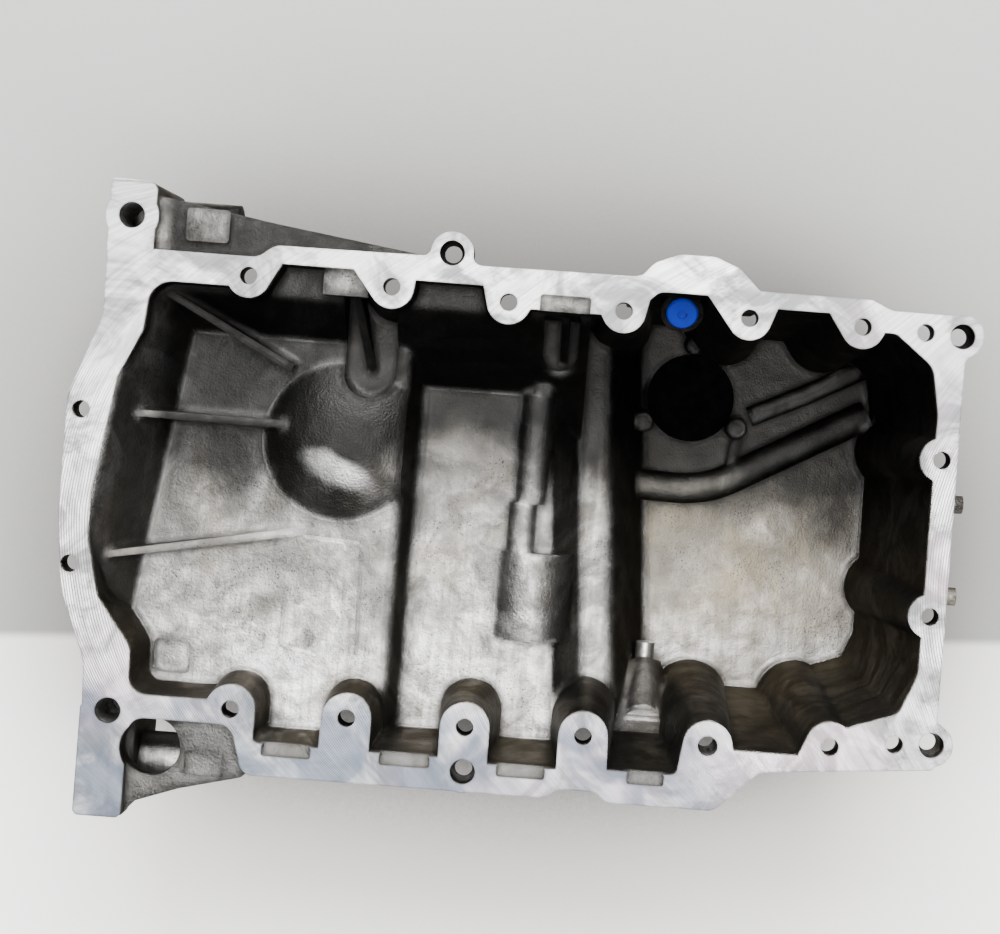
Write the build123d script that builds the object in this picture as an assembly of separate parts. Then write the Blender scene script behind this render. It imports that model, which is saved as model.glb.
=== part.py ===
from build123d import *
from math import atan2, cos, degrees, radians, sin, tan
import os

# Engine oil pan: a die-cast aluminium sump with a shallow tray at the gearbox end and a deep well.
# X runs forward from the gearbox end, Y across the engine and Z up to the engine.
# The gasket face is z = 0, and the origin lies midway between the two rearmost bolt holes.
# All sizes are in millimetres. Depths are measured down from the gasket face.

# Casting
wall = 4.0
draft = 4.0
side_draft = 8.0
flange_thickness = 12.0
corner_share = 0.45
least_radius = 0.6

# More than half the pan's width, for the prisms that cross it
half_width = 240.0

# Depths of the floors, from the gearbox end forward
rear_floor = 34.0
middle_floor = 54.0
terrace_floor = 78.0
well_floor = 138.0

# Where each floor ends and the next begins; the well's edges lean across the pan
rear_end = 154.0
middle_start = 160.0
middle_end = 230.0
terrace_start = 246.0
terrace_end = 263.0
well_start = 281.0
well_lean = 4.5
hollow_corner = 6.0
round_corner = 8.0

# Slopes that lead down to the rear floor and, along the upper side, to both tray floors
rear_slope_foot = (34.0, 0.0)
rear_slope_heading = -8.3
rear_slope_angle = 53.0
side_slope_foot = 60.0
side_slope_angle = 46.5
side_slope_end = 243.0

# Holes and lobes of the flange
bolt_hole = 8.5
dowel_seat = 12.2
dowel_seat_depth = 9.0
tapped_hole = 9.6
tapped_depth = 24.0
ear_hole = 12.6
ear_hole_depth = 32.0
upper_lobe = 10.6
lower_lobe = 12.0
front_lobe = 10.6
lobe_reach = 40.0
dowel_boss = 10.4
ear_radius = 13.0
boss_blend = 4.0

# Each lobed bolt: x, y, and the flare of the lobe's two flanks in degrees
upper_bolts = [(76, 108, 12, 28), (145.5, 108, 38, 8), (202.5, 104.8, 14, 30)]
port_bolts = [(258.5, 104.8, 30, 12), (319.5, 106, 38, 20), (374.5, 106, 34, 24)]
lower_bolts = [(83, -102, 0, 4), (139.5, -102, 0, 2), (197, -102, 0, 0), (254.5, -102, 2, 0),
               (374, -98, 30, 22)]
tapped_bolt = (315, -102, 12, 8)
front_bolts = [(417.5, 44.5, 30, 30), (417.5, -31.5, 30, 30)]
corner_bolts = [(405, 105.5), (405, -94.5)]
rear_bolt_spacing = 75.0
dowels = [(173.5, 126.5), (197.5, -123.5), (423, 105), (423, -93.5)]
upper_ear = (17.5, 133)
lower_ear = (24, -107)

# Inner edge of the flange without its lobes, and its outer edge: x, y, corner radius
rim_corners = [(29, 102.5, 12), (78, 102.5, 3), (88, 115, 6), (146, 115, 2), (152, 112, 2),
               (205, 112, 2), (211, 102.3, 2), (262, 102.3, 3), (275, 115.5, 7), (299, 115.5, 6),
               (312, 111.5, 4), (359, 111.5, 5), (374, 104, 6), (391, 104, 5), (410, 89, 10),
               (414, 66, 14), (414, -60, 14), (406, -80, 9), (380, -89, 5), (368, -103.3, 4),
               (306, -103.3, 3), (300, -117.5, 4), (268, -117.5, 4), (240, -119, 4), (210, -119, 4),
               (185, -117.5, 4), (96, -117.5, 4), (84, -98.3, 4), (33, -98.3, 9), (32.5, -76, 12),
               (14.5, -52, 14), (8, -25, 30), (8, 36, 30), (27, 78, 8)]
flange_corners = [(6.5, 150.5, 1.5), (20, 150.5, 1.5), (20, 117.3, 0.6), (80, 117.3, 9),
                  (88, 123.6, 9), (162, 124.3, 2), (189, 121.4, 2), (263, 122, 6), (270, 124.4, 6),
                  (304, 124.4, 6), (318, 119.4, 6), (378, 119.4, 7), (388, 114.8, 7),
                  (425, 114.8, 2), (425, -105.5, 2), (341, -112.8, 9), (320, -133.2, 9),
                  (268, -133.2, 6), (262, -128.4, 5), (244, -128.4, 5), (238, -133.2, 6),
                  (91, -133.2, 7), (84, -109.4, 8), (36, -109.4, 7), (31, -132, 16),
                  (13.4, -150, 1.5), (10.4, -84, 20), (-3.5, -48, 40), (-7, -15, 60),
                  (-7, 44, 20), (7.2, 84, 20)]

# Shallow cast pads at the flange's inner edge: centre x, centre y, length, width
pad_depth = 2.5
edge_pads = [(230, 105.5, 24.5, 9), (111.5, -120.3, 24, 6), (169, -120.3, 24.5, 6),
             (225.5, -121.5, 23.5, 6), (286, -120.3, 18, 6)]
rim_shelf = (112, 134, 102, 118)
rim_shelf_top = 3.0

# Forms on the tray floors
dome_centre = (123.0, 30.0)
dome_radius = 74.0
dome_height = 12.0

# Round-ended pockets in the sloping side: x, y of the round end, radius, depth
side_pockets = [(134.5, 66, 13, 38), (229, 83, 9, 43)]
corner_pocket = (45.5, -84.0, 19.0, 17.0)
corner_pocket_depth = 5.0
hump_x = 222.0
hump_radius = 23.0
hump_depth = 46.0
hump_start = -65.0
hump_end = -20.0

# Oil gallery on the middle floor, as bars in line: x, radius, from y, to y; its top is level
gallery_depth = 47.0
gallery_bars = [(216, 7.5, -24, 6), (219.5, 8.7, 5, 62), (219.5, 10.2, 33, 47), (222, 5.5, 60, 84)]
bar_edge = 1.5

# Stiffening ribs inside: start x, y, depth of the top edge there, then the same for the end
rib_top = 2.6
rib_foot = 4.6
rib_root = 10.0
inner_ribs = [(8, 37.5, 10, 111, 36.5, 31), (10, -34, 13, 106, -16.5, 33.5),
              (35, 97.5, 12, 96, 65, 28), (14, 53, 14, 36, 69, 26), (126.6, 106, 13, 135.5, 66, 33),
              (231, 100, 15, 231, 77, 40)]

# Sensor port in the floor of the well
port_centre = (303.5, 66.2)
port_radius = 24.5
port_boss_radius = 34.0
port_boss_drop = 3.0
post_circle = 30.0
post_radius = 6.0
post_height = 15.0
post_edge = 2.4
post_angles = (90, 210, 330)
port_rib = (331, 48, 328, 31, 7.0)
cap_radius = 31.0
cap_thickness = 3.5
cap_body_height = 5.5
cap_clearance = 0.4
cap_edge = 1.0

# Oil passages that swell the floor of the well
passage_route = [(268, 16), (315, 15), (402, 64)]
passage_bend = 60.0
passage_radius = 8.5
passage_rise = 13.0
branch_route = [(337, 58), (368, 73), (398, 89)]
branch_radius = 5.5
branch_rise = 9.0

# Inclined oil passage under the upper flange, and its plug
riser_mouth = (287.5, 107.0, -15.0)
riser_tilt = 25.0
riser_length = 46.0
riser_radius = 10.5
riser_bore = 6.8
riser_bore_depth = 40.0
riser_swell = [(261, 110, 1), (261, 117, 5), (272, 129.5, 8), (284, 134.3, 8), (301, 134.3, 8),
               (313, 129.5, 8), (326, 117, 5), (326, 110, 1)]
riser_swell_depth = 58.0
plug_head = 7.8
plug_head_height = 2.4
plug_edge = 0.8
plug_length = 16.0
plug_clearance = 0.3
plug_socket_radius = 2.6
plug_socket_depth = 1.4

# Drain at the foot of the well
drain_x = 287.5
drain_depth = 118.0
shelf_top = 76.0
shelf_top_y = -113.0
shelf_foot = 104.0
shelf_foot_y = -90.0
shelf_end = 306.0
mound_radius = 11.0
mound_top = (-110.0, -90.0)
mound_end = -86.0
drain_collar_radius = 9.5
drain_collar_end = -80.5
drain_bore = 6.0
drain_tip = 5.2
drain_tip_end = -70.0
drain_clearance = 0.3
drain_seat_y = -106.0
drain_seat_radius = 13.5
washer_radius = 10.5
washer_thickness = 1.6
drain_head_across = 17.0
drain_head_height = 7.0
drain_rim_radius = 10.0
drain_rim_height = 2.0

# Ears, pillars and webs at the gearbox end
web_top = 5.0
web_thickness = 9.0
upper_web = [(20, 148, 2), (26, 144.3, 3), (86, 134.6, 20), (157, 125, 1), (157, 119, 1), (20, 112, 1)]
lower_web = [(20, -105, 1), (95, -105, 1), (95, -130, 1), (90.5, -135.5, 6), (60, -143.3, 14),
             (36, -152, 5), (33.5, -158.5, 2), (10.6, -158.5, 2), (11, -112, 1)]
upper_web_pad = (54.0, 131.0, 21.0, 16.0)
lower_web_pocket = (71.5, -130.5, 19.5, 12.0)
web_relief = 2.0
web_hole_centre = (45.2, -123.8)
web_hole = 28.5
pillar_depth = 62.0
upper_pillar = [(6.5, 150, 3), (29, 150, 5), (29, 114, 1), (6.5, 114, 1)]
lower_pillar = [(10.6, -105, 1), (34, -105, 1), (34, -158.5, 3), (10.6, -158.5, 3)]
gearbox_hole_depth = 42.0
gearbox_boss_radius = 12.5
gearbox_boss_end = 62.0
gearbox_hole = 10.5
gearbox_hole_end = 52.0

# Gussets under the tray and bosses on the front wall
gusset_thickness = 4.5
gusset_ys = [-72.0, -24.0, 24.0, 60.0]
gusset_outline = [(70, -34, 1), (274, -118, 4), (286, -118, 1), (286, -60, 1), (160, -34, 1)]
front_boss_ys = [22.5, -23.5]
front_boss_radius = 4.5
front_boss_depth = 28.0
front_boss_end = 435.0


ROD_ALIGN = (Align.CENTER, Align.CENTER, Align.MIN)
TOP_ALIGN = (Align.CENTER, Align.CENTER, Align.MAX)


def closed_face(corners):
    """Flat face through corners given as (x, y, corner radius), each rounded by an arc."""
    spots = [Vector(x, y) for x, y, radius in corners]
    arcs = []
    for i, here in enumerate(spots):
        to_last = spots[i - 1] - here
        to_next = spots[(i + 1) % len(spots)] - here
        half_angle = radians(to_last.get_angle(to_next)) / 2
        room = corner_share * min(to_last.length, to_next.length)
        setback = min(corners[i][2] / tan(half_angle), room)
        middle = (to_last.normalized() + to_next.normalized()).normalized()
        to_arc = setback / cos(half_angle) - setback * tan(half_angle)
        arcs.append((here + to_last.normalized() * setback, here + middle * to_arc,
                     here + to_next.normalized() * setback))
    edges = []
    for i, (start, crown, end) in enumerate(arcs):
        edges.append(Line(arcs[i - 1][2], start))
        edges.append(ThreePointArc(start, crown, end))
    return make_face(edges)


def moved_corners(corners, inset):
    """The same clockwise outline, with every side moved inward by inset."""
    moved = []
    for i, (x, y, radius) in enumerate(corners):
        here = Vector(x, y)
        before = (here - Vector(*corners[i - 1][:2])).normalized()
        after = (Vector(*corners[(i + 1) % len(corners)][:2]) - here).normalized()
        inward = Vector(before.Y, -before.X) + Vector(after.Y, -after.X)
        shift = inward * (inset / (1 + before.dot(after)))
        turn = before.X * after.Y - before.Y * after.X
        new_radius = radius - inset if turn < 0 else radius + inset
        moved.append((x + shift.X, y + shift.Y, max(new_radius, least_radius)))
    return moved


def block(x_from, x_to, y_from, y_to, z_from, z_to):
    """Box between two corners."""
    box = Box(x_to - x_from, y_to - y_from, z_to - z_from, align=(Align.MIN, Align.MIN, Align.MIN))
    return Pos(x_from, y_from, z_from) * box


def rim_prism(skin):
    """Space inside the rim down to the well's floor, drawn in by the draft and grown by skin."""
    depth = well_floor + skin
    top = closed_face(moved_corners(rim_corners, -skin))
    foot = closed_face(moved_corners(rim_corners, depth * tan(radians(draft)) - skin))
    return loft([top, Pos(Z=-depth) * foot], ruled=True)


def cross_prism(corners, skin):
    """Prism across the pan from a clockwise outline in x and z, grown by skin."""
    profile = Plane.XZ * closed_face(moved_corners(corners, -skin))
    return extrude(profile, half_width, both=True)


def slope_block(foot, heading, angle, skin):
    """Metal behind a sloping wall that climbs from foot, its face pushed back by skin."""
    size = 4 * well_floor
    metal = Pos(X=-skin - size / 2) * Box(size, size, size)
    return Pos(*foot) * Rot(Z=heading) * Rot(Y=angle - 90) * metal


def lobe_face(centre, radius, outward_angle, flares):
    """A round end about a bolt, with two flanks that run out through the wall behind it."""
    centre = Vector(*centre)
    out = Vector(1, 0).rotate(Axis.Z, outward_angle)
    side = out.rotate(Axis.Z, 90)
    ends = []
    for turn, flare in ((1, radians(flares[0])), (-1, radians(flares[1]))):
        along = out * cos(flare) + side * (turn * sin(flare))
        square = side * (turn * cos(flare)) - out * sin(flare)
        touch = centre + square * radius
        ends.append((touch, touch + along * (lobe_reach / cos(flare))))
    (touch_a, far_a), (touch_b, far_b) = ends
    return make_face([Line(far_a, touch_a), ThreePointArc(touch_a, centre - out * radius, touch_b),
                      Line(touch_b, far_b), Line(far_b, far_a)])


def lobe(bolt, radius, outward_angle, slope, depth):
    """Column under a bolt lobe, which grows by the draft on the way down."""
    grown = radius + depth * tan(radians(slope))
    top = lobe_face(bolt[:2], radius, outward_angle, bolt[2:])
    foot = lobe_face(bolt[:2], grown, outward_angle, bolt[2:])
    return loft([top, Pos(Z=-depth) * foot], ruled=True)


def bolt_columns(skin):
    """All the columns under the lobes: what the wall wraps round, thinned by skin."""
    depth = well_floor + skin
    columns = [lobe(bolt, upper_lobe - skin, 90, side_draft, middle_floor + skin) for bolt in upper_bolts]
    columns += [lobe(bolt, upper_lobe - skin, 90, draft, depth) for bolt in port_bolts]
    columns += [lobe(bolt, lower_lobe - skin, -90, draft, depth) for bolt in lower_bolts + [tapped_bolt]]
    columns += [lobe(bolt, front_lobe - skin, 0, draft, depth) for bolt in front_bolts]
    return columns


def drain_shelf(skin):
    """Sloping shelf beside the drain, from the wall down to the foot of the well."""
    behind = shelf_top_y - lobe_reach
    bottom = -well_floor - lobe_reach
    outline = [(behind, -shelf_top, 1), (shelf_top_y, -shelf_top, 2), (shelf_foot_y, -shelf_foot, 8),
               (shelf_foot_y, bottom, 1), (behind, bottom, 1)]
    profile = Plane.YZ * closed_face(moved_corners(outline, skin))
    return Pos(X=middle_end) * extrude(profile, shelf_end - skin - middle_end)


def dome(skin):
    """Shallow dome on the rear floor, cut off at the step."""
    low = -rear_floor + dome_height - dome_radius
    ball = Pos(*dome_centre, low) * Rot(X=90) * Sphere(dome_radius - skin)
    far = dome_centre[0] - dome_radius
    return ball & block(far, rear_end - skin, -dome_radius, 2 * dome_radius, -well_floor, 0)


def pocket_space(pocket, skin):
    """Round-ended pocket that runs from the floor into the sloping side."""
    x, end_y, radius, depth = pocket
    reach = lobe_reach + radius
    outline = Circle(radius + skin)
    outline += Pos(Y=reach / 2) * Rectangle(2 * (radius + skin), reach)
    return Pos(x, end_y, -depth - skin) * extrude(outline, depth + skin - flange_thickness)


def corner_space(skin):
    """Small square pocket in the rear floor."""
    x, y, length, width = corner_pocket
    depth = corner_pocket_depth + skin
    sides = RectangleRounded(length + 2 * skin, width + 2 * skin, 3 + skin)
    return Pos(x, y, -rear_floor - depth) * extrude(sides, depth + 1)


def bowl(skin):
    """The room inside the pan (skin 0) or the outside form of the bowl (skin = wall)."""
    ahead = front_boss_end + lobe_reach
    behind = -2 * lobe_reach
    above = lobe_reach
    tray = [(behind, above, 1), (ahead, above, 1), (ahead, -middle_floor, 1),
            (middle_start, -middle_floor, hollow_corner), (rear_end, -rear_floor, hollow_corner),
            (behind, -rear_floor, 1)]
    well = [(middle_end, above, 1), (ahead, above, 1), (ahead, -well_floor, 1),
            (well_start, -well_floor, hollow_corner), (terrace_end, -terrace_floor, round_corner),
            (terrace_start, -terrace_floor, hollow_corner), (middle_end, -middle_floor, hollow_corner)]
    hinge = Pos(X=terrace_end)
    floors = cross_prism(tray, skin) + hinge * Rot(Z=well_lean) * hinge.inverse() * cross_prism(well, skin)
    rim = rim_prism(skin)
    room = rim & floors
    room -= slope_block((*rear_slope_foot, -rear_floor), rear_slope_heading, rear_slope_angle, skin)
    side = slope_block((0, side_slope_foot, -middle_floor), -90, side_slope_angle, skin)
    room -= side & block(behind, side_slope_end - skin, 0, ahead, -well_floor, -flange_thickness - skin)
    room -= drain_shelf(skin)
    room -= dome(skin)
    for pocket in side_pockets:
        room += pocket_space(pocket, skin) & rim
    room += corner_space(skin)
    hump_drop = hump_depth + hump_radius
    hump = Cylinder(hump_radius - skin, hump_end - hump_start - 2 * skin, rotation=(90, 0, 0))
    room -= Pos(hump_x, (hump_start + hump_end) / 2, -hump_drop) * hump
    for column in bolt_columns(skin):
        room -= column
    return room


def rod(start, end, radius):
    """Round bar between two points."""
    start = Vector(*start)
    run = Vector(*end) - start
    return Plane(origin=start, z_dir=run) * Cylinder(radius, run.length, align=ROD_ALIGN)


def tube_swell(route, radius, rise):
    """Round swelling over an oil passage that follows route along the well's floor."""
    level = rise - well_floor - radius
    spots = [(x, y, level) for x, y in route]
    path = FilletPolyline(*spots, radius=passage_bend)
    return sweep(Plane(origin=path @ 0, z_dir=path % 0) * Circle(radius), path=path)


def rib(start_x, start_y, start_top, end_x, end_y, end_top):
    """Upright rib between two points, its flanks drafted and its top edge sloping."""
    run = Vector(end_x - start_x, end_y - start_y)
    foot = max(start_top, end_top) + rib_root
    heading = degrees(atan2(run.Y, run.X))
    side = [(0, -start_top), (run.length, -end_top), (run.length, -foot), (0, -foot)]
    plate = extrude(Plane.XZ * make_face(Polyline(*side, close=True)), rib_foot, both=True)
    half_top, half_foot = rib_top / 2, rib_foot / 2
    section = [(-half_top, 0), (half_top, 0), (half_foot, -foot), (-half_foot, -foot)]
    bar = extrude(Plane.YZ * make_face(Polyline(*section, close=True)), run.length)
    return Pos(start_x, start_y) * Rot(Z=heading) * (plate & bar)


def port_posts():
    """The three round-topped posts that stand about the sensor port, and the rib near them."""
    posts = []
    for angle in post_angles:
        x = port_centre[0] + post_circle * cos(radians(angle))
        y = port_centre[1] + post_circle * sin(radians(angle))
        post = Pos(x, y, -well_floor) * Cylinder(post_radius, 2 * post_height)
        top_edge = post.edges().filter_by(GeomType.CIRCLE).sort_by(Axis.Z)[-1]
        posts.append(chamfer(top_edge, post_edge))
    start_x, start_y, end_x, end_y, height = port_rib
    top = well_floor - height
    return posts + [rib(start_x, start_y, top, end_x, end_y, top)]


def drain_mound():
    """Round swelling over the drain's thread, inside the well, with the collar at its end."""
    high_y, high_z = mound_top
    foot = (drain_x, mound_end, -drain_depth)
    slanted = rod((drain_x, high_y, high_z), foot, mound_radius)
    level = rod((drain_x, drain_seat_y, -drain_depth), foot, mound_radius)
    collar = rod(foot, (drain_x, drain_collar_end, -drain_depth), drain_collar_radius)
    return [slanted, level, collar]


def inner_forms():
    """Everything that stands inside the bowl, cut out of its room."""
    forms = [rib(*each) for each in inner_ribs]
    for x, radius, start, end in gallery_bars:
        level = -gallery_depth - radius
        bar = rod((x, start, level), (x, end, level), radius)
        forms.append(chamfer(bar.edges().sort_by(Axis.Y)[-1], bar_edge))
    shelf = block(*rim_shelf, -flange_thickness - wall, -rim_shelf_top)
    forms += [shelf, riser(riser_radius, riser_length)]
    forms.append(tube_swell(passage_route, passage_radius, passage_rise))
    forms.append(tube_swell(branch_route, branch_radius, branch_rise))
    return forms + port_posts() + drain_mound()


def riser(radius, length):
    """Round bar along the inclined oil passage, from its mouth down and outward."""
    return Pos(*riser_mouth) * Rot(X=riser_tilt) * Cylinder(radius, length, align=TOP_ALIGN)


def flange():
    """The flange plate with its dowel bosses, before its holes."""
    plate = extrude(closed_face(flange_corners), -flange_thickness)
    for centre in dowels:
        plate += Pos(*centre) * extrude(Circle(dowel_boss), -flange_thickness)
    joints = []
    for edge in plate.edges().filter_by(Axis.Z):
        corner = Vector(edge.center().X, edge.center().Y)
        reach = min((corner - Vector(*centre)).length for centre in dowels)
        if abs(reach - dowel_boss) < least_radius:
            joints.append(edge)
    return fillet(joints, boss_blend)


def gearbox_end():
    """Ears, pillars and webs that carry the gearbox, before their holes."""
    forms = [Pos(*upper_ear) * extrude(Circle(ear_radius), -pillar_depth)]
    for outline in (upper_pillar, lower_pillar):
        forms.append(extrude(closed_face(outline), -pillar_depth))
    for outline in (upper_web, lower_web):
        forms.append(Pos(Z=-web_top) * extrude(closed_face(outline), -web_thickness))
    x, y, length, width = upper_web_pad
    raised = extrude(RectangleRounded(length, width, 2), web_relief)
    forms.append(Pos(x, y, -web_top) * raised)
    for ear_x, ear_y in gearbox_holes():
        end = (gearbox_boss_end, ear_y, -gearbox_hole_depth)
        forms.append(rod((ear_x, ear_y, -gearbox_hole_depth), end, gearbox_boss_radius))
    return forms


def gearbox_holes():
    """Where the two holes for the gearbox bolts start, as x and y."""
    return [(upper_pillar[0][0], upper_ear[1]), (lower_pillar[0][0], lower_pillar[2][1] + 22)]


def outer_forms():
    """Everything that stands on the outside of the bowl."""
    forms = [extrude(closed_face(riser_swell), -riser_swell_depth)]
    for y in gusset_ys:
        plate = Pos(Y=y + gusset_thickness / 2) * (Plane.XZ * closed_face(gusset_outline[::-1]))
        forms.append(extrude(plate, gusset_thickness))
    for y in front_boss_ys:
        start = (front_bolts[0][0] - front_lobe, y, -front_boss_depth)
        forms.append(rod(start, (front_boss_end, y, -front_boss_depth), front_boss_radius))
    bottom = well_floor + wall + port_boss_drop
    forms.append(Pos(*port_centre, -bottom) * extrude(Circle(port_boss_radius), 2 * port_boss_drop))
    seat = (drain_x, drain_seat_y, -drain_depth)
    forms.append(rod(seat, (drain_x, mound_end, -drain_depth), drain_seat_radius))
    return forms


def flange_cuts():
    """Holes, seats and cast pads of the flange and the webs."""
    bolts = [bolt[:2] for bolt in upper_bolts + port_bolts + lower_bolts + front_bolts]
    bolts += corner_bolts + dowels
    bolts += [(0, side * rear_bolt_spacing / 2) for side in (1, -1)]
    deep = well_floor * 2
    cuts = [Pos(*centre) * Cylinder(bolt_hole / 2, deep) for centre in bolts]
    cuts += [Pos(*centre) * Cylinder(dowel_seat / 2, 2 * dowel_seat_depth) for centre in dowels]
    cuts += [Pos(*tapped_bolt[:2]) * Cylinder(tapped_hole / 2, 2 * tapped_depth)]
    for centre in (upper_ear, lower_ear):
        cuts.append(Pos(*centre) * Cylinder(ear_hole / 2, 2 * ear_hole_depth))
    for x, y, length, width in edge_pads:
        cuts.append(Pos(x, y) * extrude(RectangleRounded(length, width, 1.5), pad_depth, both=True))
    cuts.append(Pos(*web_hole_centre) * Cylinder(web_hole / 2, 2 * (web_top + web_thickness) + 1))
    x, y, length, width = lower_web_pocket
    pocket = extrude(RectangleRounded(length, width, 2), web_relief, both=True)
    cuts.append(Pos(x, y, -web_top) * pocket)
    for x, y in gearbox_holes():
        start = (x - 1, y, -gearbox_hole_depth)
        cuts.append(rod(start, (gearbox_hole_end, y, -gearbox_hole_depth), gearbox_hole / 2))
    return cuts


def pan_casting():
    """The whole casting."""
    room = bowl(0)
    for form in inner_forms():
        room -= form
    body = bowl(wall)
    for form in [flange()] + gearbox_end() + outer_forms():
        body += form
    body -= room
    for cut in flange_cuts():
        body -= cut
    body -= riser(riser_bore, riser_bore_depth)
    body -= Pos(*port_centre, -well_floor) * Cylinder(port_radius, lobe_reach)
    bore_start = (drain_x, drain_seat_y - 1, -drain_depth)
    return body - rod(bore_start, (drain_x, drain_tip_end, -drain_depth), drain_bore)


def passage_plug():
    """Plastic plug that closes the inclined oil passage."""
    head = extrude(Circle(plug_head), plug_head_height)
    head = chamfer(head.edges().sort_by(Axis.Z)[-1], plug_edge)
    shank = extrude(Circle(riser_bore - plug_clearance), -plug_length)
    socket = Pos(Z=plug_head_height) * extrude(RegularPolygon(plug_socket_radius, 6), -plug_socket_depth)
    return Pos(*riser_mouth) * Rot(X=riser_tilt) * (head + shank - socket)


def level_port_cap():
    """Plastic cap that closes the sensor port from below."""
    seat = Pos(*port_centre, -well_floor - wall - port_boss_drop)
    disc = extrude(Circle(cap_radius), -cap_thickness)
    disc = chamfer(disc.edges().sort_by(Axis.Z)[0], cap_edge)
    return seat * (disc + extrude(Circle(port_radius - cap_clearance), cap_body_height))


def drain_place(y):
    """Frame on the drain's axis that looks out of the pan, at y."""
    return Plane(origin=(drain_x, y, -drain_depth), x_dir=(1, 0, 0), z_dir=(0, -1, 0))


def drain_washer():
    """Flat sealing washer under the head of the drain plug."""
    ring = Circle(washer_radius) - Circle(drain_bore)
    return drain_place(drain_seat_y) * extrude(ring, washer_thickness)


def drain_plug():
    """Steel drain plug: hexagon head, collar, thread and the plain tip inside the pan."""
    seat = drain_seat_y - washer_thickness
    head = extrude(Circle(drain_rim_radius), drain_rim_height)
    hexagon = RegularPolygon(drain_head_across / 2, 6, major_radius=False)
    head += extrude(hexagon, drain_rim_height + drain_head_height)
    head += extrude(Circle(drain_bore - drain_clearance), seat - drain_collar_end)
    head += extrude(Circle(drain_tip), seat - drain_tip_end)
    return drain_place(seat) * head


os.makedirs("parts", exist_ok=True)
for make in (pan_casting, passage_plug, level_port_cap, drain_plug, drain_washer):
    solid = make()
    export_step(solid, f"parts/{make.__name__}.step")
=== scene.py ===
import math
import bpy
import numpy as np
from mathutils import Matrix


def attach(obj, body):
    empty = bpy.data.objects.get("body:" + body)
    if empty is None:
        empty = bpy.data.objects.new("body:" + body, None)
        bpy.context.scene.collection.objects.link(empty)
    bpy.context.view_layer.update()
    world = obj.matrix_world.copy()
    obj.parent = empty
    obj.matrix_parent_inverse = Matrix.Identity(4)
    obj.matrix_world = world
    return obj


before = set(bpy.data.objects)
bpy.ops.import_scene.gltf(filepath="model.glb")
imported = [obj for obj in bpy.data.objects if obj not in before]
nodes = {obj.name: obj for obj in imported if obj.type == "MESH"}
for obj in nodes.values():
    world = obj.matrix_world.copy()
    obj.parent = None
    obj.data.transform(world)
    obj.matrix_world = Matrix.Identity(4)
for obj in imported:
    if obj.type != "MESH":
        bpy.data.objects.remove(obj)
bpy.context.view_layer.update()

print("frame loaded:", len(nodes), "nodes")


def setSocket(tree, socket, value):
    # link a socket to what feeds it, or set its plain value
    if hasattr(value, "links"):
        tree.links.new(value, socket)
    elif socket.type == "RGBA":
        socket.default_value = (*value, 1)
    else:
        socket.default_value = value


def addNode(tree, kind, **values):
    # one node of a kind; each value sets a property, or the input socket of that name
    node = tree.nodes.new(kind)
    for key, value in values.items():
        if hasattr(node, key):
            setattr(node, key, value)
        else:
            setSocket(tree, node.inputs[key], value)
    return node


def mathNode(tree, operation, a, b=None):
    # one math node; a and b are numbers or sockets
    node = addNode(tree, "ShaderNodeMath", operation=operation)
    setSocket(tree, node.inputs[0], a)
    if b is not None:
        setSocket(tree, node.inputs[1], b)
    return node.outputs[0]


def product(tree, first, *others):
    # numbers and sockets multiplied in turn
    for other in others:
        first = mathNode(tree, "MULTIPLY", first, other)
    return first


def vectorNode(tree, operation, a, b):
    # one vector math node; a and b are vectors or sockets
    node = addNode(tree, "ShaderNodeVectorMath", operation=operation)
    setSocket(tree, node.inputs[0], a)
    setSocket(tree, node.inputs[1], b)
    return node.outputs["Value" if operation == "DOT_PRODUCT" else "Vector"]


def splitVector(tree, vector):
    # the x, y and z sockets of a vector
    return addNode(tree, "ShaderNodeSeparateXYZ", Vector=vector).outputs


def mixColour(tree, factor, a, b):
    # colour a where the factor is 0 and b where it is 1
    node = addNode(tree, "ShaderNodeMix", data_type="RGBA")
    for index, value in ((0, factor), (6, a), (7, b)):
        setSocket(tree, node.inputs[index], value)
    return node.outputs[2]


def mixNumber(tree, factor, a, b):
    # number a where the factor is 0 and b where it is 1
    node = addNode(tree, "ShaderNodeMix")
    for index, value in ((0, factor), (2, a), (3, b)):
        setSocket(tree, node.inputs[index], value)
    return node.outputs[0]


def mapRange(tree, value, low, high, toLow=0.0, toHigh=1.0, smooth=True):
    # the value from low..high to toLow..toHigh, clamped
    kind = "SMOOTHSTEP" if smooth else "LINEAR"
    node = addNode(tree, "ShaderNodeMapRange", interpolation_type=kind)
    for index, number in enumerate((value, low, high, toLow, toHigh)):
        setSocket(tree, node.inputs[index], number)
    return node.outputs[0]


def noiseAt(tree, coords, scale, detail, rough, distort=0.0):
    # fractal noise, 0..1
    node = addNode(tree, "ShaderNodeTexNoise", Vector=coords, Scale=scale, Detail=detail,
                   Roughness=rough, Distortion=distort)
    return node.outputs[0]


def cloudAt(tree, coords, pattern, fade, smooth=True):
    # fractal noise faded between two limits
    return mapRange(tree, noiseAt(tree, coords, *pattern), *fade, smooth=smooth)


def newGroup(name, inputs, outputs):
    # a shader node group with named sockets; inputs are (name, kind, default)
    group = bpy.data.node_groups.new(name, "ShaderNodeTree")
    for label, kind, value in inputs:
        socket = group.interface.new_socket(label, in_out="INPUT", socket_type=kind)
        if value is not None:
            socket.default_value = value
    for label in outputs:
        group.interface.new_socket(label, in_out="OUTPUT", socket_type="NodeSocketFloat")
    entry = group.nodes.new("NodeGroupInput")
    leave = group.nodes.new("NodeGroupOutput")
    return group, entry.outputs, leave.inputs


def placeGroup(tree, group, **values):
    # one copy of a group in a material, with its own values
    node = addNode(tree, "ShaderNodeGroup", node_tree=group)
    for key, value in values.items():
        setSocket(tree, node.inputs[key], value)
    return node.outputs


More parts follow.
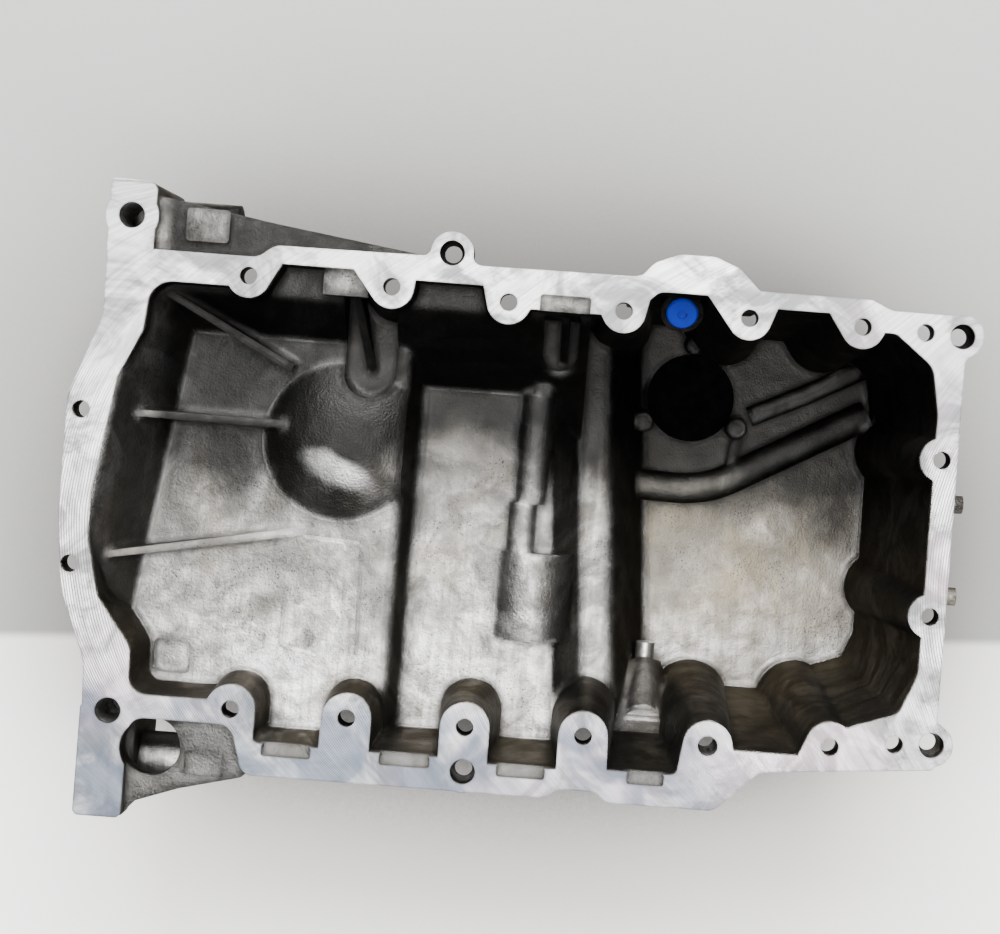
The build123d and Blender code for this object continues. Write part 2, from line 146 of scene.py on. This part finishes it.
castSkinLook = {
    "grain": (900, 2, 0.65),           # noise: scale, detail, roughness and distortion
    "swell": (110, 1, 0.5),
    "swellHeight": 1.6,
    "pitScale": 520,
    "pitEdge": (0.30, 0.08),
    "pitPatch": ((45, 2, 0.6), (0.46, 0.66)),           # a noise and its two limits
    "mottle": ((80, 5, 0.68, 0.5), (0.30, 0.66)),
    "flow": ((13, 5, 0.58, 3.2), (0.42, 0.60)),
    "stain": ((12, 3, 0.62, 1.0), (0.44, 0.66)),
    "drag": ((260, 3, 0.7), (0.38, 0.66)),
    "dragStretch": (1, 0.06, 0.4)}


def makeCastSkin():
    # die-cast skin in object space: grain, clustered pores, mottling, drag marks,
    # and flow marks from strongly distorted noise
    look = castSkinLook
    group, entry, leave = newGroup(
        "castSkin", [("Vector", "NodeSocketVector", None), ("Grain", "NodeSocketFloat", 1.0),
                     ("Pores", "NodeSocketFloat", 1.0)],
        ["Height", "Pore", "Mottle", "Flow", "Stain", "Drag"])
    where = entry["Vector"]
    grain = noiseAt(group, where, *look["grain"])
    swell = noiseAt(group, where, *look["swell"])
    height = mathNode(group, "ADD", product(group, grain, entry["Grain"]),
                      product(group, swell, look["swellHeight"]))
    cells = addNode(group, "ShaderNodeTexVoronoi", Vector=where, Scale=look["pitScale"])
    patch = cloudAt(group, where, *look["pitPatch"])
    dot = mapRange(group, cells.outputs["Distance"], *look["pitEdge"])
    stretched = vectorNode(group, "MULTIPLY", where, look["dragStretch"])
    made = {"Height": height,
            "Pore": product(group, dot, product(group, patch, entry["Pores"])),
            "Mottle": cloudAt(group, where, *look["mottle"], smooth=False),
            "Flow": cloudAt(group, where, *look["flow"]),
            "Stain": cloudAt(group, where, *look["stain"]),
            "Drag": cloudAt(group, stretched, *look["drag"])}
    for label, socket in made.items():
        group.links.new(socket, leave[label])
    return group


millLook = {"cutterRadius": 0.16, "centreY": -0.01, "pitch": 0.0013, "leastSquare": 0.0001,
            "wobble": (30, 1, 0.5), "wobbleTurns": 2,
            "streak": ((330, 4, 0.75), (0.3, 0.7)), "streakStretch": 0.04, "streakHeight": 2.0,
            "faceDepth": (-0.0005, -0.0002)}


def makeMillMarks():
    # face-milled arcs: phase = (x + sqrt(R^2 - (y - y0)^2)) / pitch, broken up by noise
    look = millLook
    group, entry, leave = newGroup("millMarks", [("Vector", "NodeSocketVector", None)],
                                   ["Height", "Streak", "Face"])
    x, y, z = splitVector(group, entry["Vector"])
    across = mathNode(group, "SUBTRACT", y, look["centreY"])
    square = mathNode(group, "SUBTRACT", look["cutterRadius"] ** 2, product(group, across, across))
    arc = mathNode(group, "SQRT", mathNode(group, "MAXIMUM", square, look["leastSquare"]))
    run = mathNode(group, "ADD", x, arc)
    wobble = noiseAt(group, entry["Vector"], *look["wobble"])
    phase = mathNode(group, "ADD", mathNode(group, "DIVIDE", run, look["pitch"]),
                     product(group, wobble, look["wobbleTurns"]))
    wave = mathNode(group, "SINE", product(group, phase, 2 * math.pi))
    line = addNode(group, "ShaderNodeCombineXYZ", X=run, Y=product(group, y, look["streakStretch"]))
    streak = cloudAt(group, line.outputs[0], *look["streak"], smooth=False)
    height = mathNode(group, "ADD", wave, product(group, streak, look["streakHeight"]))
    group.links.new(height, leave["Height"])
    group.links.new(streak, leave["Streak"])
    group.links.new(mapRange(group, z, *look["faceDepth"]), leave["Face"])
    return group


castSkin = makeCastSkin()
millMarks = makeMillMarks()
print("shared effects built")


def startMaterial(name):
    # a new node material: the tree, its shader's inputs and the object coordinates
    material = bpy.data.materials.new(name)
    material.use_nodes = True
    tree = material.node_tree
    coords = tree.nodes.new("ShaderNodeTexCoord").outputs["Object"]
    return material, tree, tree.nodes["Principled BSDF"].inputs, coords


# the brightest cast colour here is a painted highlight; the dark wall, +y side and nook colours are painted
# shade
castColours = {
    "light": (0.62, 0.604, 0.572), "dark": (0.075, 0.073, 0.069), "flow": (0.075, 0.073, 0.069),
    "stain": (0.25, 0.205, 0.135), "duller": (0.12, 0.116, 0.11), "pore": (0.03, 0.026, 0.022),
    "paintedNookShade": (0.014, 0.013, 0.012), "wall": (0.062, 0.0605, 0.0565), "paintedSideShade": (0.010, 0.010, 0.0097),
    "paintedHighlight": (0.95, 0.94, 0.92), "webGrey": (0.06, 0.0595, 0.057), "wellTone": (0.13, 0.118, 0.092),
    "machined": (0.86, 0.85, 0.835), "worn": (0.085, 0.09, 0.102), "blush": (0.80, 0.62, 0.70),
    "blueTint": (0.12, 0.145, 0.19)}

# some fades below place painted highlights and painted shade on the cast
# each zone is a fade: low and high limit, then the values at them where they aren't 0 and 1
castZones = {
    "rimLevel": (0.90, 0.985),                  # by the upward part of a rounded normal
    "steepWall": (0.74, 0.28),
    "levelFloor": (0.85, 0.97),
    "paintedHighlightLevel": (0.74, 0.86),
    "sideShadeWeight": (0.2, 0.8, 0.48, 0.965),
    "facesMiddle": (-0.01, 0.02),
    "roundedCorner": (0.985, 0.94),
    "wellStain": (-0.09, -0.13, 0.45, 0.9),     # by height
    "wellVarnish": (-0.09, -0.13, 0.0, 0.5),
    "wellTone": (-0.09, -0.12, 0.0, 0.45),
    "padTop": (-0.012, -0.006),
    "bayHighlightDepth": (-0.024, -0.030),
    "paintedHighlightDepth": (-0.024, -0.031),
    "sideShadeDepth": (-0.001, -0.004),
    "sideShadeDeeper": (-0.06, -0.12, 0.0, 0.022),
    "webSide": (-0.102, -0.108),                # by y, toward the low side
    "padSide": (-0.109, -0.113),
    "bayHighlightSide": (-0.045, -0.095),
    "hazeSide": (-0.082, -0.104),
    "webEnd": (0.076, 0.066),                   # by x, along the pan
    "hazeEnd": (0.37, 0.28),
    "sideShadeShift": (0.13, 0.18, 0.012, -0.006),
    "sideShadeOnEars": (0.028, 0.038, 0.35, 1.0),
    "sideShadeEdge": (-0.026, 0.042),
    "bayHighlightMottle": (0.0, 1.0, 0.3, 1.0),        # by the skin's own masks
    "wallFlow": (0.0, 1.0, 0.78, 0.93),
    "paintedHighlightFlow": (0.0, 1.0, 1.0, 0.35)}

# each cloud is a noise and the fade of its value
castClouds = {
    "tone": ((7, 3, 0.6, 1.6), (0.40, 0.62, 0.0, 0.62)),
    # noise that breaks up the painted highlight on the low bays
    "paintedBayHighlight": ((32, 2, 0.55, 0.6), (0.36, 0.66, 0.15, 0.8)),
    "tarnish": ((26, 4, 0.66, 1.4), (0.40, 0.64)),
    "blush": ((9, 2, 0.5, 1.2), (0.5, 0.7)),
    "haze": ((30, 2, 0.6, 0.8), (0.34, 0.62, 0.25, 0.85))}

# weights below include those of the painted highlights and painted shade
castLook = {
    "grain": 1.0, "pores": 1.0,
    "castRound": 0.0065, "castRoundSamples": 3, "rimRound": 0.0013, "rimRoundSamples": 2,
    "middle": (0.22, 0.0, 0.30),                # the point that inner surfaces face
    "flow": 0.66, "lowGrey": 0.8, "drag": 0.42, "paintedHighlight": 0.55, "paintedHighlightOverShade": 0.10,
    "drift": (26, 2, 0.55), "driftMean": 0.5, "driftReach": 0.07, "sideShadeLag": 0.030,
    "nookReach": 0.018, "nookSamples": 3, "nookShade": (0.08, 0.5, 0.6, 0.0),
    "streak": 0.6, "tarnish": 0.7, "blush": 0.4,
    "castRough": 0.46, "castRoughMottle": -0.12, "millRough": 0.42, "millRoughTarnish": 0.14,
    "castBump": 0.55, "castBumpDepth": 0.0005, "millBump": 0.5, "millBumpDepth": 0.00006,
    "edgeTint": (0.3, 0.29, 0.275)}

# place and shape of the painted highlight band on the dome
domeHighlightLook = {"spot": (0.121, 0.016, -0.024), "lean": 0.35, "narrow": 0.16, "ragged": 0.2,
              "edge": (0.0105, 0.002, 0.0, 0.6), "below": 0.006, "end": (0.154, 0.146),
              "mottle": (0.0, 1.0, 0.45, 1.0)}


def zone(tree, value, key):
    # a value's fade between the limits kept under a key
    return mapRange(tree, value, *castZones[key])


def roundedNormal(tree, radius, samples):
    # the normal as if every edge had this radius
    return addNode(tree, "ShaderNodeBevel", Radius=radius, samples=samples).outputs[0]


def domeHighlightMask(tree, spot, inner, drift, mottle):
    # painted highlight band on the dome: ring = sqrt(narrow run^2 + rise^2), run and rise along and across it
    look = domeHighlightLook
    spotX, spotY, spotZ = look["spot"]
    x, y, z = spot
    run = mathNode(tree, "SUBTRACT", x, spotX)
    rise = mathNode(tree, "ADD", mathNode(tree, "SUBTRACT", y, spotY), product(tree, run, look["lean"]))
    ring = mathNode(tree, "ADD", product(tree, product(tree, run, run), look["narrow"]),
                    product(tree, rise, rise))
    ring = mathNode(tree, "ADD", mathNode(tree, "SQRT", ring), product(tree, drift, look["ragged"]))
    return product(tree, mapRange(tree, ring, *look["edge"]),
                   mapRange(tree, z, spotZ - look["below"], spotZ),
                   product(tree, inner, mapRange(tree, x, *look["end"])),
                   mapRange(tree, mottle, *look["mottle"]))


def castPaint(tree, coords, spot, skin, soft):
    # colour of the cast skin: mottled and stained, with painted shade on the drafted inner walls,
    # along the +y side and in the nooks, and painted highlights on the low bays, corners and dome
    look = castLook
    x, y, z = spot
    softUp = splitVector(tree, soft)[2]

    # inner: the surface looks toward a point over the middle of the pan
    toMiddle = vectorNode(tree, "SUBTRACT", look["middle"], coords)
    inner = zone(tree, vectorNode(tree, "DOT_PRODUCT", toMiddle, soft), "facesMiddle")
    steep = product(tree, zone(tree, softUp, "steepWall"), inner)

    paint = mixColour(tree, skin["Mottle"], castColours["dark"], castColours["light"])

    def layer(weight, colour):
        # one more coat over the paint so far
        nonlocal paint
        paint = mixColour(tree, weight, paint, castColours[colour])

    # flow marks, warm stains, and an all-over varnish deep in the well
    layer(product(tree, skin["Flow"], look["flow"]), "flow")
    stained = product(tree, skin["Stain"], zone(tree, z, "wellStain"))
    layer(mathNode(tree, "MAXIMUM", stained, zone(tree, z, "wellVarnish")), "stain")
    layer(cloudAt(tree, coords, *castClouds["tone"]), "duller")
    layer(zone(tree, z, "wellTone"), "wellTone")

    # the webs and pads outside the low wall are greyer; the level bays inside it get a painted highlight
    lowWeb = product(tree, zone(tree, y, "webSide"), zone(tree, x, "webEnd"))
    lowPad = product(tree, zone(tree, y, "padSide"), zone(tree, z, "padTop"))
    layer(product(tree, mathNode(tree, "MAXIMUM", lowWeb, lowPad), look["lowGrey"]), "webGrey")
    paintedBayHighlight = product(tree, zone(tree, y, "bayHighlightSide"), zone(tree, softUp, "levelFloor"),
                    product(tree, inner, zone(tree, z, "bayHighlightDepth")),
                    cloudAt(tree, coords, *castClouds["paintedBayHighlight"]),
                    zone(tree, skin["Mottle"], "bayHighlightMottle"))
    layer(paintedBayHighlight, "paintedHighlight")
    layer(product(tree, skin["Drag"], look["drag"]), "duller")
    layer(skin["Pore"], "pore")
    # painted shade: the steep inner walls are darker
    layer(product(tree, steep, zone(tree, skin["Flow"], "wallFlow")), "wall")

    # painted shade toward the +y side, placed by position: it starts further in on steep walls and nearer in the
    # well
    drift = mathNode(tree, "SUBTRACT", noiseAt(tree, coords, *look["drift"]), look["driftMean"])
    drift = product(tree, drift, look["driftReach"])
    reach = mathNode(tree, "SUBTRACT", y, product(tree, steep, look["sideShadeLag"]))
    reach = mathNode(tree, "ADD", reach, zone(tree, z, "sideShadeDeeper"))
    reach = mathNode(tree, "ADD", reach, zone(tree, x, "sideShadeShift"))
    paintedSideShade = product(tree, zone(tree, mathNode(tree, "ADD", reach, drift), "sideShadeEdge"),
                   product(tree, inner, zone(tree, z, "sideShadeDepth")), zone(tree, x, "sideShadeOnEars"))

    # painted highlight along corners: bright where the rounded normal leaves the true one
    plain = tree.nodes.new("ShaderNodeNewGeometry").outputs["Normal"]
    turn = vectorNode(tree, "DOT_PRODUCT", soft, plain)
    paintedHighlight = product(tree, zone(tree, turn, "roundedCorner"), zone(tree, softUp, "paintedHighlightLevel"),
                    product(tree, inner, zone(tree, z, "paintedHighlightDepth")),
                    zone(tree, skin["Flow"], "paintedHighlightFlow"))
    layer(product(tree, paintedHighlight, look["paintedHighlight"]), "paintedHighlight")
    # painted shade toward +y over the highlights, a little painted highlight over that, then the painted
    # highlight band on the dome
    layer(product(tree, paintedSideShade, zone(tree, softUp, "sideShadeWeight")), "paintedSideShade")
    layer(product(tree, paintedHighlight, look["paintedHighlightOverShade"]), "paintedHighlight")
    layer(domeHighlightMask(tree, spot, inner, drift, skin["Mottle"]), "paintedHighlight")

    # painted shade in the nooks, from an AO node
    nook = addNode(tree, "ShaderNodeAmbientOcclusion", samples=look["nookSamples"], Distance=look["nookReach"])
    layer(mapRange(tree, nook.outputs["AO"], *look["nookShade"], smooth=False), "paintedNookShade")
    return paint


def milledPaint(tree, coords, spot, mill, tarnish):
    # colour of the gasket face: streaks along the cutter's arcs, broad tarnish, a blue haze
    look = castLook
    x, y, z = spot
    streak = product(tree, mill["Streak"], look["streak"])
    paint = mixColour(tree, streak, castColours["machined"], castColours["worn"])
    paint = mixColour(tree, product(tree, tarnish, look["tarnish"]), paint, castColours["worn"])
    blush = product(tree, cloudAt(tree, coords, *castClouds["blush"]), look["blush"])
    paint = mixColour(tree, blush, paint, castColours["blush"])
    # the lugs along the low side carry the haze
    haze = product(tree, zone(tree, y, "hazeSide"), zone(tree, x, "hazeEnd"),
                   cloudAt(tree, coords, *castClouds["haze"]))
    return mixColour(tree, haze, paint, castColours["blueTint"])


def makeCastAluminium():
    # cast skin everywhere, and bright milled metal on the gasket face inside its rounded rim
    look = castLook
    material, tree, shader, coords = startMaterial("castAluminium")
    spot = splitVector(tree, coords)
    skin = placeGroup(tree, castSkin, Vector=coords, Grain=look["grain"], Pores=look["pores"])
    mill = placeGroup(tree, millMarks, Vector=coords)
    rim = roundedNormal(tree, look["rimRound"], look["rimRoundSamples"])
    soft = roundedNormal(tree, look["castRound"], look["castRoundSamples"])

    # the rim's rounded normal leaves the vertical within rimRound of any edge
    face = product(tree, mill["Face"], zone(tree, splitVector(tree, rim)[2], "rimLevel"))
    tarnish = cloudAt(tree, coords, *castClouds["tarnish"])
    cast = castPaint(tree, coords, spot, skin, soft)
    milled = milledPaint(tree, coords, spot, mill, tarnish)
    setSocket(tree, shader["Base Color"], mixColour(tree, face, cast, milled))

    castRough = mathNode(tree, "ADD", look["castRough"], product(tree, skin["Mottle"], look["castRoughMottle"]))
    millRough = mathNode(tree, "ADD", look["millRough"], product(tree, tarnish, look["millRoughTarnish"]))
    setSocket(tree, shader["Roughness"], mixNumber(tree, face, castRough, millRough))
    setSocket(tree, shader["Metallic"], 1.0)
    setSocket(tree, shader["Specular Tint"], look["edgeTint"])

    castBump = addNode(tree, "ShaderNodeBump", Strength=look["castBump"], Distance=look["castBumpDepth"],
                       Height=skin["Height"], Normal=soft)
    millBump = addNode(tree, "ShaderNodeBump", Strength=look["millBump"], Distance=look["millBumpDepth"],
                       Height=mill["Height"], Normal=rim)
    normal = addNode(tree, "ShaderNodeMix", data_type="VECTOR")
    for index, value in ((0, face), (4, castBump.outputs[0]), (5, millBump.outputs[0])):
        setSocket(tree, normal.inputs[index], value)
    setSocket(tree, shader["Normal"], normal.outputs[1])
    return material


plasticLook = {"drift": (160, 3, 0.6), "colourFade": (0.35, 0.75), "roughFade": (0.3, 0.7), "roughRise": 0.15,
               "grain": (1800, 3, 0.6), "grainBump": 0.3, "grainDepth": 0.00008}


def makePlastic(name, colour, worn, roughness, gloss):
    # moulded plastic: faint colour drift and a fine spark-eroded grain
    look = plasticLook
    material, tree, shader, coords = startMaterial(name)
    drift = noiseAt(tree, coords, *look["drift"])
    paint = mixColour(tree, mapRange(tree, drift, *look["colourFade"]), colour, worn)
    rough = mapRange(tree, drift, *look["roughFade"], roughness, roughness + look["roughRise"])
    grain = addNode(tree, "ShaderNodeBump", Strength=look["grainBump"], Distance=look["grainDepth"],
                    Height=noiseAt(tree, coords, *look["grain"]))
    setSocket(tree, shader["Base Color"], paint)
    setSocket(tree, shader["Roughness"], rough)
    setSocket(tree, shader["Specular IOR Level"], gloss)
    setSocket(tree, shader["Normal"], grain.outputs[0])
    return material


steelLook = {"patch": ((220, 4, 0.6), (0.4, 0.7)), "roughRise": 0.2,
             "grain": (1500, 2, 0.5), "grainBump": 0.3, "grainDepth": 0.00005}


def makeSteel(name, colour, dull, roughness):
    # turned and plated steel: a fine grain and dull patches
    look = steelLook
    material, tree, shader, coords = startMaterial(name)
    patch = cloudAt(tree, coords, *look["patch"])
    grain = addNode(tree, "ShaderNodeBump", Strength=look["grainBump"], Distance=look["grainDepth"],
                    Height=noiseAt(tree, coords, *look["grain"]))
    setSocket(tree, shader["Base Color"], mixColour(tree, patch, colour, dull))
    setSocket(tree, shader["Roughness"], mapRange(tree, patch, 0, 1, roughness, roughness + look["roughRise"]))
    setSocket(tree, shader["Metallic"], 1.0)
    setSocket(tree, shader["Normal"], grain.outputs[0])
    return material


finishes = {
    "pan_casting": makeCastAluminium(),
    "passage_plug": makePlastic("bluePlastic", (0.001, 0.015, 0.27), (0.001, 0.009, 0.17), 0.35, 0.3),
    "level_port_cap": makePlastic("blackPlastic", (0.0012, 0.0012, 0.0013), (0.0024, 0.0024, 0.0027), 0.6, 0.0),
    "drain_plug": makeSteel("platedSteel", (0.55, 0.55, 0.54), (0.36, 0.35, 0.33), 0.32),
    "drain_washer": makeSteel("washerMetal", (0.75, 0.76, 0.77), (0.6, 0.61, 0.62), 0.35)}
for nodeName, finish in finishes.items():
    slots = nodes[nodeName].data.materials
    slots.clear()
    slots.append(finish)
print("finishes applied")


def gridObject(name, x, y, z, wrapU, wrapV, finish):
    # a mesh from three arrays over u (rows) and v (columns); wrap closes a direction
    rows, columns = x.shape
    points = np.stack([x, y, z], -1).reshape(-1, 3)
    i, j = np.meshgrid(np.arange(rows - (not wrapU)), np.arange(columns - (not wrapV)), indexing="ij")
    i, j = i.ravel(), j.ravel()
    i2, j2 = (i + 1) % rows, (j + 1) % columns
    faces = np.stack([i * columns + j, i2 * columns + j, i2 * columns + j2, i * columns + j2], -1)
    mesh = bpy.data.meshes.new(name)
    mesh.from_pydata(points.tolist(), [], faces.tolist())
    mesh.polygons.foreach_set("use_smooth", np.ones(len(faces), bool))
    mesh.materials.append(finish)
    made = bpy.data.objects.new(name, mesh)
    bpy.context.scene.collection.objects.link(made)
    return made


def gridPiece(name, x, y, z, wrapU, wrapV, finish):
    # a grid that is part of the pan
    piece = gridObject(name, x, y, z, wrapU, wrapV, finish)
    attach(piece, "root")


# each thread: centre, wall radius, height, pitch, top and bottom
threadLook = {"stepsPerTurn": 30, "clearance": 0.00001,
              "tapped": ((0.315, -0.102), 0.0048, 0.0005, 0.00125, -0.0012, -0.0225),
              "upperEar": ((0.0175, 0.133), 0.0063, 0.0006, 0.0015, -0.0016, -0.031),
              "lowerEar": ((0.024, -0.107), 0.0063, 0.0006, 0.0015, -0.0016, -0.031)}


def makeThread(name, centre, wallRadius, height, pitch, top, bottom):
    # inner thread: angle = 2 pi u, z = top - pitch u - pitch v, v over one pitch,
    # radius = wall - height (1 - |2v - 1|), faded in and out over one turn
    turns = (top - bottom) / pitch
    u = np.linspace(0, turns, int(turns * threadLook["stepsPerTurn"]))[:, None]
    v = np.array([0.0, 0.5, 1.0])[None, :]
    fade = np.clip(np.minimum(u, turns - u), 0, 1)
    radius = wallRadius - threadLook["clearance"] - height * fade * (1 - np.abs(2 * v - 1))
    z = top - pitch * (u + v) + 0 * radius
    x = centre[0] + radius * np.cos(2 * np.pi * u)
    y = centre[1] - radius * np.sin(2 * np.pi * u)
    gridPiece(name, x, y, z, False, False, finishes["threadMetal"])


finishes["threadMetal"] = makeSteel("threadMetal", (0.42, 0.42, 0.41), (0.2, 0.19, 0.18), 0.35)
for threadName in ("tapped", "upperEar", "lowerEar"):
    makeThread(threadName + "Thread", *threadLook[threadName])
print("threads cut")


sensorLook = {"centre": (0.3035, 0.0662), "top": -0.13935, "radius": 0.0238, "relief": 0.0004,
              "crown": 1.2, "grooveDepth": 0.7, "grooveAt": 0.62, "grooveHalf": 0.1, "grooveEdge": 60,
              "rimPower": 12, "rings": 40, "steps": 120}


def makeSensorFace():
    # dished face: height = relief (crown - depth groove - crown s^12), s = r / radius,
    # groove = 1 - 1 / (1 + exp(-(|s - grooveAt| - half) edge))
    look = sensorLook
    s = np.linspace(0.0001, 1, look["rings"])[:, None]
    a = np.linspace(0, 2 * np.pi, look["steps"], endpoint=False)[None, :]
    level = 1 / (1 + np.exp(-(np.abs(s - look["grooveAt"]) - look["grooveHalf"]) * look["grooveEdge"]))
    height = look["crown"] - look["grooveDepth"] * (1 - level) - look["crown"] * s ** look["rimPower"]
    z = look["top"] + look["relief"] * height + 0 * a
    x = look["centre"][0] + look["radius"] * s * np.cos(a)
    y = look["centre"][1] + look["radius"] * s * np.sin(a)
    gridPiece("levelSensorFace", x, y, z, False, True, finishes["level_port_cap"])


gripLook = {"radius": 0.0311, "sunk": 0.0002, "height": 0.0004, "foot": 0.5, "ribs": 48,
            "top": -0.1454, "bottom": -0.1478, "rows": 9, "stepsPerRib": 8}


def makeCapGrip():
    # grip ring round the cap: radius = R + h (foot + min(1, max(0, 2 cos(ribs a)))) sqrt(sin(pi v))
    look = gripLook
    v = np.linspace(0, 1, look["rows"])[:, None]
    a = np.linspace(0, 2 * np.pi, look["ribs"] * look["stepsPerRib"], endpoint=False)[None, :]
    swell = np.sin(np.pi * v) ** 0.5
    rib = look["foot"] + np.clip(np.cos(look["ribs"] * a) * 2, 0, 1)
    radius = look["radius"] - look["sunk"] + look["height"] * rib * swell
    z = look["top"] + (look["bottom"] - look["top"]) * v + 0 * a
    x = sensorLook["centre"][0] + radius * np.cos(a)
    y = sensorLook["centre"][1] + radius * np.sin(a)
    gridPiece("capGripRing", x, y, z, False, True, finishes["level_port_cap"])


makeSensorFace()
makeCapGrip()
print("sensor face and cap grip made")


beadLook = {"level": -0.034, "sunk": 0.00003, "halfWidth": 0.0014, "height": 0.0008, "endHeight": 0.15,
            "bend": 0.004, "bendSteps": 9, "rows": 9}
beadRoutes = {"floorFrameBead": [(0.107, -0.019), (0.1365, -0.0205), (0.138, -0.0765)],
              "floorSideBead": [(0.1005, -0.029), (0.0995, -0.0745), (0.118, -0.0785)]}


def makeFloorBead(name, route):
    # cast bead along a bent line: across it the height falls as h (1 + cos(pi w)) / 2, w from -1 to 1
    look = beadLook
    route = np.array(route)
    spots = [route[0]]
    for before, corner, after in zip(route, route[1:], route[2:]):
        t = np.linspace(0, 1, look["bendSteps"])[:, None]
        start = corner + (before - corner) / np.linalg.norm(before - corner) * look["bend"]
        end = corner + (after - corner) / np.linalg.norm(after - corner) * look["bend"]
        spots.extend((1 - t) ** 2 * start + 2 * t * (1 - t) * corner + t ** 2 * end)
    spots = np.array(spots + [route[-1]])
    along = np.gradient(spots, axis=0)
    along /= np.linalg.norm(along, axis=1)[:, None]
    side = np.stack([along[:, 1], -along[:, 0]], -1)
    w = np.linspace(-1, 1, look["rows"])[None, :]
    taper = np.ones((len(spots), 1))
    taper[[0, -1]] = look["endHeight"]
    x = spots[:, 0:1] + side[:, 0:1] * w * look["halfWidth"]
    y = spots[:, 1:2] + side[:, 1:2] * w * look["halfWidth"]
    z = look["level"] - look["sunk"] + look["height"] * taper * (1 + np.cos(np.pi * w)) / 2
    gridPiece(name, x[::-1], y[::-1], z[::-1], False, False, finishes["pan_casting"])


for beadName, beadRoute in beadRoutes.items():
    makeFloorBead(beadName, beadRoute)
print("floor beads laid")


stageLook = {"floorZ": -0.1505, "halfSize": 4, "lines": 41,
             "jointTurn": 3.9, "jointAt": -0.0935, "jointHalf": 0.0035,
             "table": (0.93, 0.915, 0.89), "tableShade": (0.90, 0.885, 0.86),
             "backdrop": (0.46, 0.458, 0.445), "paper": ((6, 4, 0.5), (0.3, 0.7)), "roughness": 0.8,
             "glow": (1, 0.975, 0.93), "tableGlow": 1.6, "backdropGlow": 0.02,
             "shadeReach": 0.30, "shadeSamples": 16, "shadeFade": (0.60, 0.985),
             "underShade": (0.15, 0.145, 0.14)}


def makePaper():
    # a pale table and a greyer backdrop on one sheet, split along a slanting joint; the sheet glows,
    # and a painted contact shadow darkens its colour and glow round whatever stands on it
    look = stageLook
    material, tree, shader, coords = startMaterial("paperFloor")
    table = mixColour(tree, cloudAt(tree, coords, *look["paper"]), look["table"], look["tableShade"])
    x, y, z = splitVector(tree, coords)
    turn = math.radians(look["jointTurn"])
    up = mathNode(tree, "SUBTRACT", product(tree, y, math.cos(turn)), product(tree, x, math.sin(turn)))
    back = mapRange(tree, up, look["jointAt"] - look["jointHalf"], look["jointAt"] + look["jointHalf"])
    paint = mixColour(tree, back, table, look["backdrop"])
    glow = mixNumber(tree, back, look["tableGlow"], look["backdropGlow"])
    # painted contact shadow: the AO node darkens colour and glow near the pan
    nook = addNode(tree, "ShaderNodeAmbientOcclusion", samples=look["shadeSamples"], Distance=look["shadeReach"])
    lit = mapRange(tree, nook.outputs["AO"], *look["shadeFade"], smooth=False)
    setSocket(tree, shader["Base Color"], mixColour(tree, lit, look["underShade"], paint))
    setSocket(tree, shader["Roughness"], look["roughness"])
    setSocket(tree, shader["Emission Color"], look["glow"])
    setSocket(tree, shader["Emission Strength"], product(tree, glow, lit))
    return material


def makeStage():
    # a flat sheet: a square grid at the floor's height
    line = np.linspace(-stageLook["halfSize"], stageLook["halfSize"], stageLook["lines"])
    x, y = np.meshgrid(line, line, indexing="ij")
    z = np.full_like(x, stageLook["floorZ"])
    gridObject("studioFloor", x, y, z, False, False, makePaper())


# each light: place, target, size and power
lightLook = {"windowLight": ((0.25, 1.15, 1.15), (0.22, -0.03, -0.05), 1.0, 88),
             "topLight": ((0.20, -0.20, 1.9), (0.2, 0, 0), 0.9, 34),
             "leftAccent": ((-0.30, 0.12, 1.2), (0.0, 0.05, 0), 0.3, 5),
             "rightAccent": ((0.66, -0.34, 1.2), (0.4, -0.08, 0), 0.3, 5)}


def addLight(name, place, target, size, power):
    # soft square light that faces its target
    lamp = bpy.data.lights.new(name, "AREA")
    lamp.size = size
    lamp.energy = power
    holder = bpy.data.objects.new(name, lamp)
    holder.location = place
    away = np.array(place) - np.array(target)
    yaw = math.atan2(away[0], -away[1])
    tilt = math.atan2(math.hypot(away[0], away[1]), away[2])
    holder.rotation_euler = (tilt, 0, yaw)
    bpy.context.scene.collection.objects.link(holder)


airLook = {"cloud": ((5, 3, 0.5, 0.5), (0.35, 0.65)), "low": (0.20, 0.21, 0.24), "high": (0.95, 0.97, 1.0),
           "strength": 0.16}


def makeAir():
    # studio air: soft cloudy reflections from every side
    world = bpy.data.worlds.new("studioAir")
    world.use_nodes = True
    tree = world.node_tree
    where = tree.nodes.new("ShaderNodeTexCoord").outputs["Generated"]
    cloud = cloudAt(tree, where, *airLook["cloud"])
    sky = tree.nodes["Background"].inputs
    setSocket(tree, sky["Color"], mixColour(tree, cloud, airLook["low"], airLook["high"]))
    setSocket(tree, sky["Strength"], airLook["strength"])
    bpy.context.scene.world = world


makeStage()
for lightName, lightValues in lightLook.items():
    addLight(lightName, *lightValues)
makeAir()

cameraLook = {"place": (0.2357, 0.0599, 0.828), "roll": 4.4, "lens": 61.6, "shift": (-0.070, -0.067),
              "sensorWidth": 36, "clipStart": 0.01}
lens = bpy.data.cameras.new("mainCamera")
lens.lens = cameraLook["lens"]
lens.sensor_width = cameraLook["sensorWidth"]
lens.shift_x, lens.shift_y = cameraLook["shift"]
lens.clip_start = cameraLook["clipStart"]
eye = bpy.data.objects.new("mainCamera", lens)
eye.location = cameraLook["place"]
eye.rotation_euler = (0, 0, math.radians(cameraLook["roll"]))
bpy.context.scene.collection.objects.link(eye)
bpy.context.scene.camera = eye
print("stage, lights and camera set")
